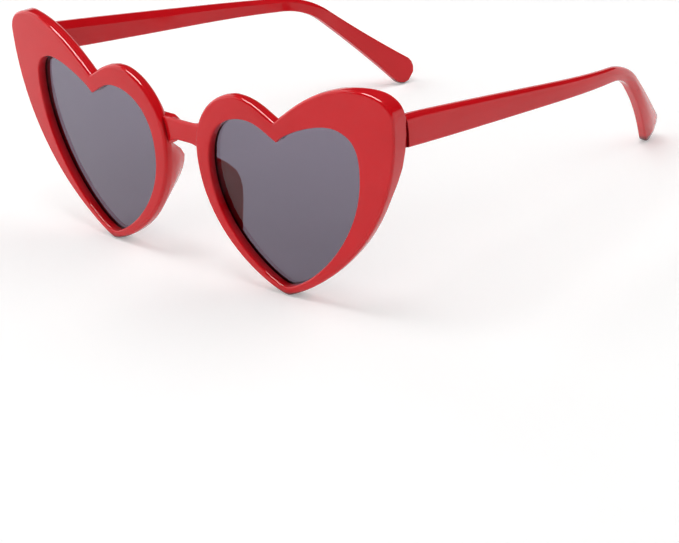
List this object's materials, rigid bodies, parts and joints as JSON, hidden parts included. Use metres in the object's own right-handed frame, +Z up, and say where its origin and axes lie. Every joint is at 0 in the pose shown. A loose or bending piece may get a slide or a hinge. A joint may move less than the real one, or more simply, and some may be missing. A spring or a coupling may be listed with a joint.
{
  "type": "heart shaped sunglasses",
  "caption": "Sunglasses with a one-piece front of heart shaped rims, tinted flat-set lenses, moulded nose pads, and tapering temples that fold on metal hinges.",
  "frame": {"origin": "on the table plane, midway across, and midway between the front face and the temple tips", "axes": "+X towards the wearer's left, +Y from the front back towards the ears, +Z up; the heart feet and temple tips stand on z = 0"},
  "size_m": [0.1438, 0.141, 0.06],
  "materials": {
    "front": "polished",
    "temple": "polished",
    "lens": "polished tint",
    "hinge_leaf": "satin",
    "screw": "satin"
  },
  "bodies": {
    "front": {"front_frame": "front", "left_lens": "lens", "right_lens": "lens", "left_front_leaf": "hinge_leaf", "right_front_leaf": "hinge_leaf", "left_hinge_screw": "screw", "right_hinge_screw": "screw", "left_front_leaf_screws": "screw", "right_front_leaf_screws": "screw"},
    "left_temple": {"left_temple": "temple", "left_temple_leaf": "hinge_leaf", "left_temple_leaf_screws": "screw"},
    "right_temple": {"right_temple": "temple", "right_temple_leaf": "hinge_leaf", "right_temple_leaf_screws": "screw"}
  },
  "joints": [
    {"name": "left_hinge", "type": "hinge", "parent": "front", "child": "left_temple", "pos_m": [0.06583, -0.05736, 0.04837], "axis": [0, 0, 1], "range_deg": [0, 84]},
    {"name": "right_hinge", "type": "hinge", "parent": "front", "child": "right_temple", "pos_m": [-0.06583, -0.05736, 0.04837], "axis": [0, 0, -1], "range_deg": [0, 79]}
  ]
}
